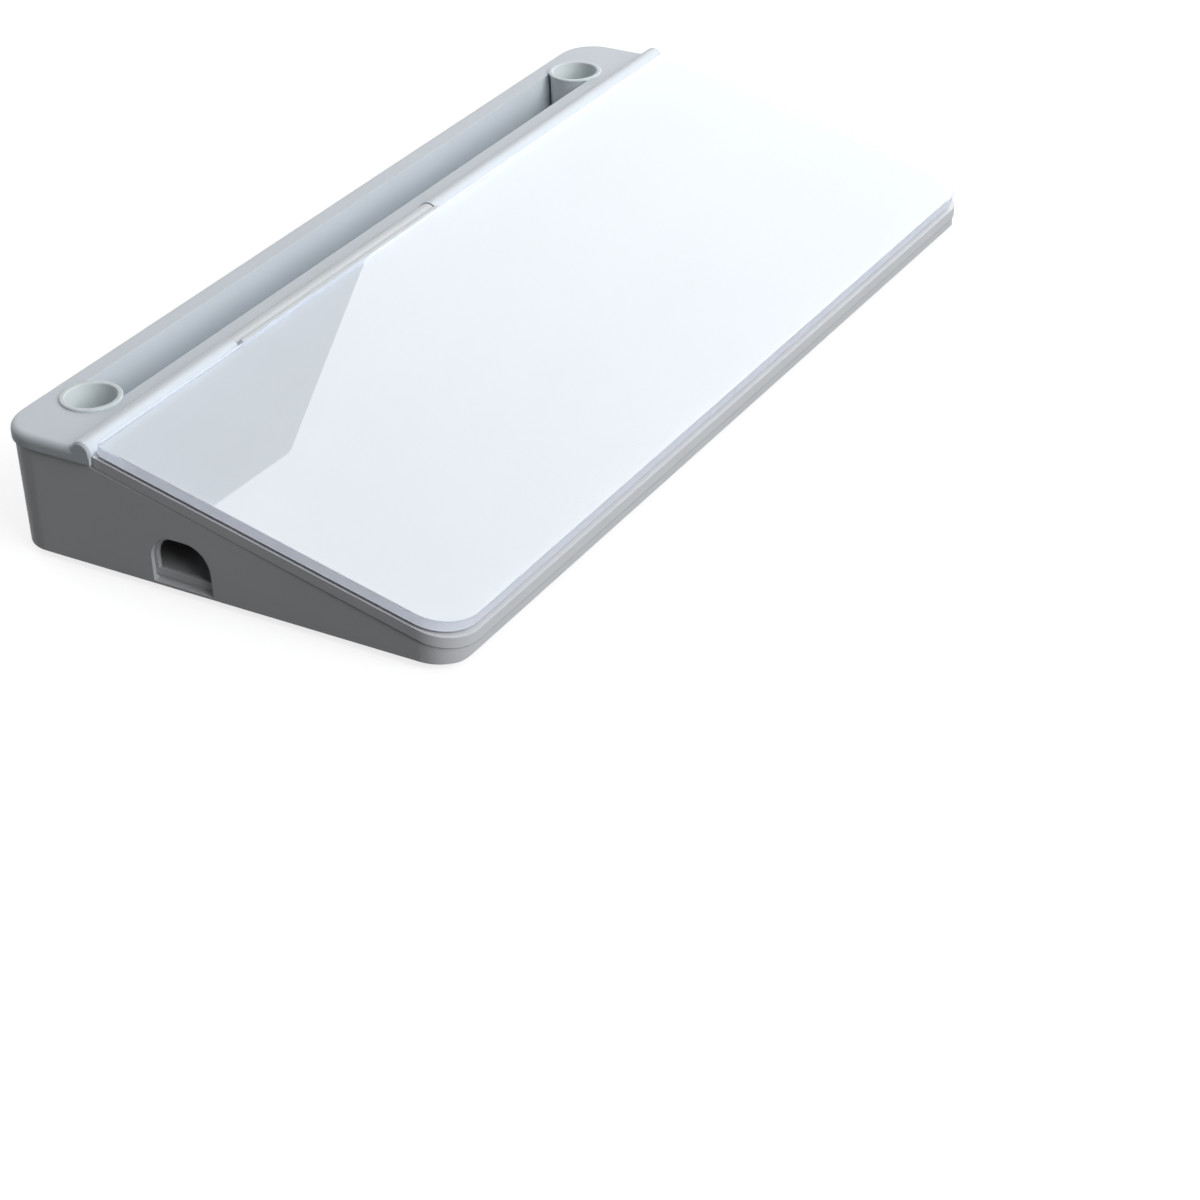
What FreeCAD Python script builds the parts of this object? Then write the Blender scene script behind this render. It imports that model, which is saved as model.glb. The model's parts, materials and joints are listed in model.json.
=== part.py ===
import FreeCAD, Part
import math
import os
import re
import Sketcher

# Desktop glass whiteboard: a wedge-shaped storage box with a pen deck along the back and a glass
# lid that swings up on an off-centre hinge. Millimetres, +X right, +Y to the back, +Z up, with the
# origin on the desk under the middle of the board.

# Driving dimensions: alias, value, what it measures
DIMENSIONS = [
    ("body_width", 380, "whole board, across the rear deck"),
    ("body_depth", 179, "whole board, rim front to deck back"),
    ("hinge_inset", 37, "deck back to hinge axis"),
    ("hinge_height", 43.5, "shell underside to hinge axis"),
    ("front_height", 8.6, "shell underside to the lid's plane through that axis, at the front"),
    ("overrun", 5, "how far cuts run past what they cut"),
    ("fit_gap", 0.3, "clearance between mouldings"),
    ("run_gap", 0.05, "radial clearance of pins and screws"),
    ("draft", 1, "mould draft, degrees"),
    ("shell_wall", 1.8, "lower shell side wall"),
    ("shell_floor", 2.2, "lower shell floor"),
    ("rear_radius", 15, "deck plan corners"),
    ("front_radius", 14, "rim plan corners"),
    ("rear_roll", 6, "rounding under the back"),
    ("front_roll", 3.5, "rounding under the front"),
    ("seam_gap", 0.3, "shadow gap between the shell and the rim and deck above it"),
    ("seam_bevel", 0.4, "bevel along the shell's outer edge under the rim"),
    ("deck_overhang", 1, "deck past the shell at the sides and back"),
    ("deck_rise", 0.9, "deck top above the hinge axis"),
    ("deck_skirt", 4.8, "height of the deck's outer band"),
    ("deck_plate", 2, "thickness of the deck's top"),
    ("deck_edge", 2.5, "rounding of the deck's outer top edge"),
    ("skirt_wall", 1.8, "thickness of the deck's outer band"),
    ("skirt_lip", 3.6, "deck band in front of the hinge axis"),
    ("bar_radius", 4, "hinge bars on the deck"),
    ("bar_bevel", 0.8, "bevel round the outer ends of the bars"),
    ("bevel_angle", 45, "slope of that bevel, degrees"),
    ("bar_groove", 0.9, "width of the groove behind the bars"),
    ("bar_groove_depth", 1.4, "depth of that groove below the deck"),
    ("strip_reach", 6.3, "strip under the bars, in front of the axis"),
    ("strip_drop", 0.8, "strip below the bars"),
    ("strip_thickness", 1.6, "strip under the bars"),
    ("trough_offset", 19.8, "hinge axis to middle of the pen trough"),
    ("trough_width", 18, "pen trough"),
    ("trough_depth", 26, "pen trough below the deck"),
    ("trough_wall", 1.6, "walls and floor of the trough"),
    ("cup_side", 31.5, "deck side to middle of the pen cup"),
    ("cup_diameter", 20.2, "pen cup"),
    ("cup_wall", 1.2, "pen cup wall and floor"),
    ("cup_lip", 1.1, "pen cup lip, proud of its wall"),
    ("cup_lip_height", 0.9, "pen cup lip above the deck"),
    ("cup_gap", 0.35, "pen cup to the trough's round end"),
    ("rim_band", 3.9, "tray rim that shows above the shell"),
    ("rim_width", 3.6, "top of the tray rim"),
    ("tray_floor", 1.6, "storage tray floor"),
    ("divider", 1.6, "storage dividers at their top"),
    ("front_bay", 61, "rim front to the divider along the tray"),
    ("short_divider", 30.2, "middle of the board to the short divider, on the left"),
    ("end_bay", 86.8, "bay across the tray's right end"),
    ("bay_radius", 2.5, "corners of the storage bays"),
    ("back_wall", 1.6, "tray's back wall"),
    ("back_wall_reach", 2.9, "front of that wall in front of the hinge axis"),
    ("window_width", 24, "cable opening in each side"),
    ("window_height", 19, "cable opening above the shell underside"),
    ("window_radius", 9.5, "round top of the cable opening"),
    ("window_lip", 1, "shell left below the outer opening"),
    ("window_sill", 5, "sill of the inner opening above the shell underside"),
    ("window_step", 1, "inner opening inside the outer, at its sides and top"),
    ("window_offset", 35.6, "hinge axis to middle of the cable opening"),
    ("window_depth", 3.4, "how far the outer opening is cut in"),
    ("glass_thickness", 4, "glass lid"),
    ("glass_top", 5.6, "glass face above the hinge axis, square to the lid"),
    ("glass_rear", 4.6, "hinge axis to the glass's back edge"),
    ("glass_setback", 1.3, "glass front edge inside the rim's front, along the lid"),
    ("glass_inset", 0.1, "glass inside the shell's sides"),
    ("glass_radius", 15, "glass front corners"),
    ("glass_rear_radius", 3, "glass back corners"),
    ("glass_arris", 0.4, "ground edge of the glass"),
    ("film_thickness", 0.25, "white film behind the glass"),
    ("film_inset", 0.4, "film inside the glass edge"),
    ("lid_gap", 1.3, "glass to rim when closed"),
    ("hinge_side", 83.5, "deck's left side to the lid's part of the hinge"),
    ("hinge_width", 125, "lid's part of the hinge"),
    ("knuckle_width", 6, "solid ends of the lid's barrel"),
    ("knuckle_gap", 0.4, "knuckle to bar end"),
    ("barrel_radius", 3.7, "lid's hinge barrel"),
    ("channel_half", 2.4, "half width and height of the hollow under the barrel"),
    ("channel_round", 2.1, "rounding at the top of that hollow"),
    ("channel_rib", 1.4, "ribs across the hollow"),
    ("land_top", 5.1, "flat behind the glass above the hinge axis"),
    ("land_rear", 2.9, "hinge axis to the back of that flat"),
    ("land_round", 0.8, "rounding at the back of that flat"),
    ("plate_width", 239, "hinge plate on the lid's back"),
    ("plate_thickness", 2.2, "hinge plate"),
    ("plate_start", 5.6, "hinge axis to the plate's near edge"),
    ("plate_end", 31.5, "hinge axis to the plate's far edge"),
    ("plate_radius", 3, "hinge plate corners"),
    ("tape_thickness", 0.3, "adhesive under the hinge plate"),
    ("tape_inset", 1.5, "adhesive inside the plate and film edges"),
    ("pin_diameter", 2.4, "hinge pins"),
    ("pin_depth", 8, "pin in the bar"),
    ("pin_reach", 4.6, "pin in the knuckle"),
    ("clip_width", 6, "clear clips beside the knuckles"),
    ("clip_height", 6.4, "clear clips below the strip"),
    ("clip_thickness", 1.6, "clear clips, front to back"),
    ("clip_bridge", 1.4, "bridge of the clear clips"),
    ("clip_prong", 1.9, "prongs of the clear clips"),
    ("clip_setback", 3.4, "bar end to middle of the clip"),
    ("hook_width", 5, "snap hooks under the strip"),
    ("hook_height", 4.4, "snap hooks below the strip"),
    ("hook_thickness", 1.3, "snap hooks, front to back"),
    ("hook_barb", 1.2, "barb of the snap hooks, out and up"),
    ("hook_left", 49.8, "deck's left side to the hook on the left"),
    ("hook_inner", 70.4, "middle of the board to the inner hook on the right"),
    ("hook_right", 61.4, "deck's right side to the outer hook on the right"),
    ("bumper_diameter", 14.4, "round bumpers under the lid"),
    ("bumper_edge", 0.4, "bevel of the bumpers"),
    ("bumper_side", 12.5, "glass side to bumper middle"),
    ("bumper_front", 8.3, "glass front to bumper middle"),
    ("rest_gap", 0.05, "bumper above the rim when closed"),
    ("foot_diameter", 12, "rubber feet"),
    ("foot_height", 2.5, "feet below the shell"),
    ("foot_bevel", 0.8, "bevel of the feet"),
    ("foot_side", 21, "deck side to foot middle"),
    ("foot_front", 15.5, "rim front to foot middle"),
    ("foot_rear", 17.5, "deck back to foot middle"),
    ("boss_diameter", 7, "screw bosses and posts"),
    ("boss_height", 18, "screw bosses above the shell floor"),
    ("boss_side", 10.5, "deck side to screw middle"),
    ("boss_rear", 10.5, "deck back to screw middle"),
    ("screw_shank", 2.6, "screw shank"),
    ("screw_hole", 3, "screw clearance hole"),
    ("screw_bite", 8, "screw length in the post"),
    ("screw_head", 5, "screw head"),
    ("screw_head_height", 1.6, "screw head"),
    ("screw_recess", 6, "bore under the screw head"),
    ("screw_seat", 3, "depth of that bore"),
]
ALIASES = {alias for alias, number, meaning in DIMENSIONS}

# Places and sizes that follow from the driving dimensions. In the lid's own frame, which turns
# with it, the origin is on the hinge axis, -Y runs down the glass and +Z comes out of it.
PLACES = {
    "deck_half": "body_width / 2",
    "bar_half": "deck_half - bar_bevel",
    "shell_half": "deck_half - deck_overhang",
    "rim_half": "shell_half - rim_width",
    "glass_half": "shell_half - glass_inset",
    "tub_inset": "shell_wall + fit_gap",
    "lid_reach": "body_depth - hinge_inset",
    "lid_slope": "atan((hinge_height - front_height) / lid_reach)",
    "front_y": "-body_depth / 2",
    "rear_y": "body_depth / 2",
    "shell_rear_y": "rear_y - deck_overhang",
    "hinge_y": "rear_y - hinge_inset",
    "wall_y": "hinge_y - back_wall_reach",
    "hook_y": "wall_y - fit_gap",
    "trough_y": "hinge_y + trough_offset",
    "window_y": "hinge_y - window_offset",
    "long_divider_y": "front_y + front_bay",
    "end_divider_x": "rim_half - end_bay - divider / 2",
    "under_z": "foot_height",
    "shell_floor_z": "under_z + shell_floor",
    "tray_under_z": "shell_floor_z + fit_gap",
    "bay_floor_z": "tray_under_z + tray_floor",
    "boss_top_z": "shell_floor_z + boss_height",
    "screw_seat_z": "under_z + screw_seat",
    "hinge_z": "under_z + hinge_height",
    "deck_z": "hinge_z + deck_rise",
    "seam_z": "deck_z - deck_skirt",
    "shell_top_z": "seam_z - seam_gap",
    "strip_z": "hinge_z - bar_radius - strip_drop",
    "barb_z": "strip_z - hook_height",
    "glass_front": "lid_reach / cos(lid_slope) - glass_setback",
    "glass_back": "glass_top - glass_thickness",
    "film_back": "glass_back - film_thickness",
    "rim_top": "glass_back - lid_gap",
    "rim_under": "rim_top - rim_band",
    "shell_top": "rim_under - seam_gap",
    "plate_top": "film_back - tape_thickness",
    "plate_back": "plate_top - plate_thickness",
    "hinge_left": "hinge_side - deck_half",
    "hinge_right": "hinge_left + hinge_width",
    "plate_left": "hinge_left + (hinge_width - plate_width) / 2",
    "plate_right": "plate_left + plate_width",
    "barrel_left": "hinge_left + knuckle_gap",
    "barrel_length": "hinge_width - 2 * knuckle_gap",
    "channel_cell": "(barrel_length - 2 * knuckle_width - 2 * channel_rib) / 3",
    "pin_bore": "pin_diameter + 2 * run_gap",
    "cup_radius": "cup_diameter / 2",
    "cup_x": "deck_half - cup_side",
    "screw_x": "deck_half - boss_side",
    "screw_y": "rear_y - boss_rear",
    "foot_x": "deck_half - foot_side",
}
SIDES = (("left", "-"), ("right", "+"))
SCREWS = [(f"{sign}screw_x", "screw_y") for side, sign in SIDES]
HOOKS = ("hook_left - deck_half", "hook_inner", "deck_half - hook_right")

doc = FreeCAD.newDocument("desktop_glass_whiteboard")
sheet = doc.addObject("Spreadsheet::Sheet", "Size")
for row, (alias, number, meaning) in enumerate(DIMENSIONS, 1):
    sheet.set(f"A{row}", meaning)
    sheet.set(f"B{row}", str(number))
    sheet.setAlias(f"B{row}", alias)
doc.recompute()


def spell(text):
    """An expression on the sheet: places are spelled out and aliases led by the sheet's name."""
    def swap(match):
        word = match[0]
        if word in PLACES:
            return f"({spell(PLACES[word])})"
        return f"{sheet.Name}.{word}" if word in ALIASES else word
    return re.sub("[a-z_]+", swap, text)


def value(text):
    return float(sheet.evalExpression(spell(text)))


def slope_z(y, level):
    """Height at depth y of the plane that lies level above the hinge axis, square to the closed lid."""
    return f"hinge_z - (hinge_y - ({y})) * tan(lid_slope) + ({level}) / cos(lid_slope)"


# Document helpers
def make_body(label, x="0", y="0", z="0"):
    body = doc.addObject("PartDesign::Body", label)
    body.Label = label
    for axis, place in zip("xyz", (x, y, z)):
        body.setExpression(f"Placement.Base.{axis}", spell(place))
    return body


def make_lid_body(label):
    body = make_body(label, y="hinge_y", z="hinge_z")
    tilt = FreeCAD.Rotation(FreeCAD.Vector(1, 0, 0), value("lid_slope"))
    body.Placement = FreeCAD.Placement(FreeCAD.Vector(), tilt)
    body.setExpression("Placement.Rotation.Angle", spell("lid_slope"))
    return body


def origin_part(body, role):
    return next(part for part in body.Origin.OriginFeatures if part.Role == role)


def make_sketch(body, name, plane, lift="0"):
    """A sketch on one of the body's own planes, moved by lift along that plane's normal."""
    sketch = body.newObject("Sketcher::SketchObject", name)
    sketch.AttachmentSupport = [(origin_part(body, plane), "")]
    sketch.MapMode = "FlatFace"
    sketch.setExpression("AttachmentOffset.Base.z", spell(lift))
    return sketch


def bind(sketch, kind, text, *where):
    index = sketch.addConstraint(Sketcher.Constraint(kind, *where, value(text)))
    sketch.setExpression(f"Constraints[{index}]", spell(text))


def relate(sketch, kind, *where):
    sketch.addConstraint(Sketcher.Constraint(kind, *where))


def pin_point(sketch, geometry, point, x, y):
    bind(sketch, "DistanceX", x, -1, 1, geometry, point)
    bind(sketch, "DistanceY", y, -1, 1, geometry, point)


def make_arc(sketch, centre, radius, first, last):
    """An arc that runs anticlockwise between the directions first and last from its centre."""
    start = math.atan2(first.y, first.x)
    turn = (math.atan2(last.y, last.x) - start) % (2 * math.pi)
    circle = Part.Circle(centre, FreeCAD.Vector(0, 0, 1), radius)
    return sketch.addGeometry(Part.ArcOfCircle(circle, start, start + turn))


def add_outline(sketch, corners):
    """A closed outline through corners (x, y) or, where rounded, (x, y, radius)."""
    points = [FreeCAD.Vector(value(corner[0]), value(corner[1]), 0) for corner in corners]
    radii = [value(corner[2]) if len(corner) > 2 else 0 for corner in corners]
    count = len(points)
    ways = [(points[(i + 1) % count] - points[i]).normalize() for i in range(count)]
    trims = [radii[i] * math.tan(ways[i - 1].getAngle(ways[i]) / 2) for i in range(count)]
    marks = [sketch.addGeometry(Part.Point(point), True) for point in points]
    for mark, corner in zip(marks, corners):
        pin_point(sketch, mark, 1, corner[0], corner[1])
    lines = []
    for i in range(count):
        after = (i + 1) % count
        start, end = points[i] + ways[i] * trims[i], points[after] - ways[i] * trims[after]
        lines.append(sketch.addGeometry(Part.LineSegment(start, end)))
    for i in range(count):
        before, line = lines[i - 1], lines[i]
        if not radii[i]:
            relate(sketch, "Coincident", before, 2, line, 1)
            relate(sketch, "Coincident", line, 1, marks[i], 1)
            continue
        left_turn = ways[i - 1].cross(ways[i]).z > 0
        inward = FreeCAD.Vector(-ways[i].y, ways[i].x, 0) * (1 if left_turn else -1)
        centre = points[i] + ways[i] * trims[i] + inward * radii[i]
        arrive = points[i] - ways[i - 1] * trims[i] - centre
        leave = points[i] + ways[i] * trims[i] - centre
        arc = make_arc(sketch, centre, radii[i], *((arrive, leave) if left_turn else (leave, arrive)))
        relate(sketch, "Tangent", before, 2, arc, 1 if left_turn else 2)
        relate(sketch, "Tangent", arc, 2 if left_turn else 1, line, 1)
        relate(sketch, "PointOnObject", marks[i], 1, before)
        relate(sketch, "PointOnObject", marks[i], 1, line)
        bind(sketch, "Radius", corners[i][2], arc)


def add_box(sketch, left, right, low, high, *radius):
    corners = ((left, low), (right, low), (right, high), (left, high))
    add_outline(sketch, [(x, y, *radius) for x, y in corners])


def add_plan(sketch, half, front, rear, front_corner, *rear_corner):
    """A plan that is the same on both sides, with corners rounded at the front and perhaps the rear."""
    add_outline(sketch, [
        (f"-({half})", front, front_corner), (half, front, front_corner),
        (half, rear, *rear_corner), (f"-({half})", rear, *rear_corner),
    ])


def add_circle(sketch, x, y, diameter):
    centre = FreeCAD.Vector(value(x), value(y), 0)
    circle = sketch.addGeometry(Part.Circle(centre, FreeCAD.Vector(0, 0, 1), value(diameter) / 2))
    pin_point(sketch, circle, 3, x, y)
    bind(sketch, "Diameter", diameter, circle)


def add_trough(sketch, grow):
    """The pen trough's outline, a slot with a wider round end for each cup, grown all round."""
    half, radius = f"trough_width / 2 + {grow}", f"cup_radius + cup_gap + {grow}"
    neck = FreeCAD.Vector(math.sqrt(value(radius) ** 2 - value(half) ** 2), 0, 0)
    wide = FreeCAD.Vector(0, value(half), 0)
    right_mid = FreeCAD.Vector(value("cup_x"), value("trough_y"), 0)
    left_mid = FreeCAD.Vector(-value("cup_x"), value("trough_y"), 0)
    right = make_arc(sketch, right_mid, value(radius), -neck - wide, wide - neck)
    left = make_arc(sketch, left_mid, value(radius), neck + wide, neck - wide)
    back = sketch.addGeometry(Part.LineSegment(right_mid - neck + wide, left_mid + neck + wide))
    front = sketch.addGeometry(Part.LineSegment(left_mid + neck - wide, right_mid - neck - wide))
    for first, second in ((right, back), (back, left), (left, front), (front, right)):
        relate(sketch, "Coincident", first, 2, second, 1)
    for arc, x in ((right, "cup_x"), (left, "-cup_x")):
        pin_point(sketch, arc, 3, x, "trough_y")
        bind(sketch, "Radius", radius, arc)
    for line, y in ((back, f"trough_y + ({half})"), (front, f"trough_y - ({half})")):
        relate(sketch, "Horizontal", line)
        bind(sketch, "DistanceY", y, -1, 1, line, 1)


def extrude(body, kind, sketch, length, reverse=False, symmetric=False, taper="0"):
    """A Pad or a Pocket; raises where it adds or cuts nothing."""
    before = body.Shape.Volume if body.Tip else 0
    feature = body.newObject(f"PartDesign::{kind}", f"{sketch.Name}_{kind.lower()}")
    feature.Profile = sketch
    feature.Reversed = reverse
    feature.SideType = "Symmetric" if symmetric else "One side"
    feature.setExpression("Length", spell(length))
    feature.setExpression("TaperAngle", spell(taper))
    doc.recompute()
    change = body.Shape.Volume - before
    if (change if kind == "Pad" else -change) <= 0:
        raise ValueError(f"{feature.Name} changes nothing")
    return feature


def revolve(body, sketch):
    feature = body.newObject("PartDesign::Revolution", f"{sketch.Name}_revolution")
    feature.Profile = sketch
    feature.ReferenceAxis = (origin_part(body, "Z_Axis"), [""])
    feature.Angle = 360
    doc.recompute()


def dress(body, kind, amount, wanted):
    """A Fillet or Chamfer on the edges of the body so far that wanted(edge) picks."""
    base = body.Tip
    names = [f"Edge{i}" for i, edge in enumerate(base.Shape.Edges, 1) if wanted(edge)]
    feature = body.newObject(f"PartDesign::{kind}", f"{body.Name}_{kind.lower()}")
    feature.Base = (base, names)
    feature.setExpression("Radius" if kind == "Fillet" else "Size", spell(amount))
    doc.recompute()


def near(a, b):
    return math.isclose(a, b, abs_tol=1e-4)


def is_level(edge, z):
    return near(edge.BoundBox.ZMin, z) and near(edge.BoundBox.ZMax, z)


# Lower shell: a drafted tub, rolled under at the back and front and cut by the sloped seam
def make_lower_shell():
    body = make_body("lower_shell")
    plan = make_sketch(body, "shell_plan", "XY_Plane", "shell_top_z")
    add_plan(plan, "shell_half", "front_y", "shell_rear_y", "front_radius", "rear_radius - deck_overhang")
    extrude(body, "Pad", plan, "shell_top_z - under_z", reverse=True, taper="-draft")

    seam = make_sketch(body, "shell_seam", "YZ_Plane")
    start, end, top = "front_y - overrun", "hinge_y + overrun", "seam_z + overrun"
    add_outline(seam, [
        (start, slope_z(start, "shell_top")), (end, slope_z(end, "shell_top")), (end, top), (start, top),
    ])
    extrude(body, "Pocket", seam, "body_width", symmetric=True)

    roll = make_sketch(body, "shell_roll", "YZ_Plane")
    low, inside = "under_z - overrun", "shell_rear_y - rear_roll - overrun"
    outside, high = "shell_rear_y + overrun", "under_z + rear_roll + overrun"
    add_outline(roll, [
        (inside, low), (outside, low), (outside, high), ("shell_rear_y", high),
        ("shell_rear_y", "under_z", "rear_roll"), (inside, "under_z"),
    ])
    inside, high = "front_y + front_roll + overrun", "under_z + front_roll + overrun"
    add_outline(roll, [
        (start, low), (inside, low), (inside, "under_z"), ("front_y", "under_z", "front_roll"),
        ("front_y", high), (start, high),
    ])
    extrude(body, "Pocket", roll, "body_width", symmetric=True)

    hollow = make_sketch(body, "shell_hollow", "XY_Plane", "shell_top_z")
    add_plan(hollow, "shell_half - shell_wall", "front_y + shell_wall", "shell_rear_y - shell_wall",
             "front_radius - shell_wall", "rear_radius - deck_overhang - shell_wall")
    extrude(body, "Pocket", hollow, "shell_top_z - shell_floor_z", taper="-draft")
    dress(body, "Chamfer", "seam_bevel", is_outer_seam)

    for side, sign in SIDES:
        window = make_sketch(body, f"shell_window_{side}", "YZ_Plane", f"{sign}(shell_half + overrun)")
        add_window(window, "0", "under_z + window_lip")
        extrude(body, "Pocket", window, "overrun + window_depth", reverse=side == "left")

    bosses = make_sketch(body, "shell_bosses", "XY_Plane", "shell_floor_z")
    holes = make_sketch(body, "shell_screw_holes", "XY_Plane", "under_z")
    recesses = make_sketch(body, "shell_screw_recesses", "XY_Plane", "under_z")
    for x, y in SCREWS:
        add_circle(bosses, x, y, "boss_diameter")
        add_circle(holes, x, y, "screw_hole")
        add_circle(recesses, x, y, "screw_recess")
    extrude(body, "Pad", bosses, "boss_height")
    extrude(body, "Pocket", holes, "shell_floor + boss_height + overrun", reverse=True)
    extrude(body, "Pocket", recesses, "screw_seat", reverse=True)


def is_outer_seam(edge):
    """Whether an edge of the shell follows the sloped seam along the outside."""
    half_wall = value("shell_wall / 2")
    for point in (vertex.Point for vertex in edge.Vertexes):
        at_side = abs(point.x) > value("shell_half") - half_wall
        at_front = point.y < value("front_y") + half_wall
        on_seam = near(point.z, value(slope_z(str(point.y), "shell_top")))
        if not on_seam or not (at_side or at_front):
            return False
    return True


def add_window(sketch, step, sill):
    """The cable opening's arch over a sill, made smaller by step at its sides and top."""
    left, right = f"window_y - window_width / 2 + {step}", f"window_y + window_width / 2 - {step}"
    top, corner = f"under_z + window_height - {step}", f"window_radius - {step}"
    add_outline(sketch, [(left, sill), (right, sill), (right, top, corner), (left, top, corner)])


# Storage tray: a sloped rim band over a drafted inner tub with moulded dividers
def make_storage_tray():
    body = make_body("storage_tray")
    band = make_sketch(body, "tray_band", "YZ_Plane")
    band_end = "hinge_y - bar_radius - fit_gap"
    add_outline(band, [
        ("front_y", slope_z("front_y", "rim_under")), (band_end, slope_z(band_end, "rim_under")),
        (band_end, slope_z(band_end, "rim_top")), ("front_y", slope_z("front_y", "rim_top")),
    ])
    extrude(body, "Pad", band, "2 * shell_half", symmetric=True)
    front, half = value("front_y"), value("shell_half")
    dress(body, "Fillet", "front_radius",
          lambda edge: near(edge.BoundBox.YMax, front) and near(abs(edge.CenterOfMass.x), half))

    tub = make_sketch(body, "tray_tub", "XY_Plane", "seam_z")
    tub_half, tub_front = "shell_half - tub_inset", "front_y + tub_inset"
    add_plan(tub, tub_half, tub_front, "wall_y + back_wall", "front_radius - tub_inset")
    extrude(body, "Pad", tub, "seam_z - tray_under_z", reverse=True, taper="-draft")
    roof = make_sketch(body, "tray_tub_top", "YZ_Plane")
    start, end, high = "front_y - overrun", "hinge_y + overrun", "hinge_z + overrun"
    add_outline(roof, [
        (start, slope_z(start, "rim_top")), (end, slope_z(end, "rim_top")), (end, high), (start, high),
    ])
    extrude(body, "Pocket", roof, "body_width", symmetric=True)

    bays = make_sketch(body, "tray_bays", "XY_Plane", "hinge_z")
    bay_front, rim_corner, corner = "front_y + rim_width", "front_radius - rim_width", "bay_radius"
    long_front, long_back = "long_divider_y - divider / 2", "long_divider_y + divider / 2"
    short_left, short_right = "-short_divider - divider / 2", "-short_divider + divider / 2"
    end_left, end_right = "end_divider_x - divider / 2", "end_divider_x + divider / 2"
    add_box(bays, "-rim_half", end_left, long_back, "wall_y", corner)
    add_outline(bays, [
        ("-rim_half", bay_front, rim_corner), (short_left, bay_front, corner),
        (short_left, long_front, corner), ("-rim_half", long_front, corner),
    ])
    add_box(bays, short_right, end_left, bay_front, long_front, corner)
    add_outline(bays, [
        (end_right, bay_front, corner), ("rim_half", bay_front, rim_corner),
        ("rim_half", "wall_y", corner), (end_right, "wall_y", corner),
    ])
    extrude(body, "Pocket", bays, "hinge_z - bay_floor_z", taper="-draft")

    room = make_sketch(body, "tray_bar_room", "YZ_Plane")
    add_box(room, "hinge_y - strip_reach - fit_gap", end, "strip_z - fit_gap", high)
    extrude(body, "Pocket", room, "2 * rim_half", symmetric=True)
    for side, sign in SIDES:
        window = make_sketch(body, f"tray_window_{side}", "YZ_Plane", f"{sign}(shell_half + overrun)")
        add_window(window, "window_step", "under_z + window_sill")
        extrude(body, "Pocket", window, "2 * overrun + rim_width", reverse=side == "left")
    slots = make_sketch(body, "tray_hook_slots", "XZ_Plane", "-hook_y")
    reach = "(hook_width / 2 + fit_gap)"
    for x in HOOKS:
        add_box(slots, f"{x} - {reach}", f"{x} + {reach}", "barb_z - fit_gap", "barb_z + hook_barb + fit_gap")
    extrude(body, "Pocket", slots, "fit_gap + back_wall + overrun")


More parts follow.
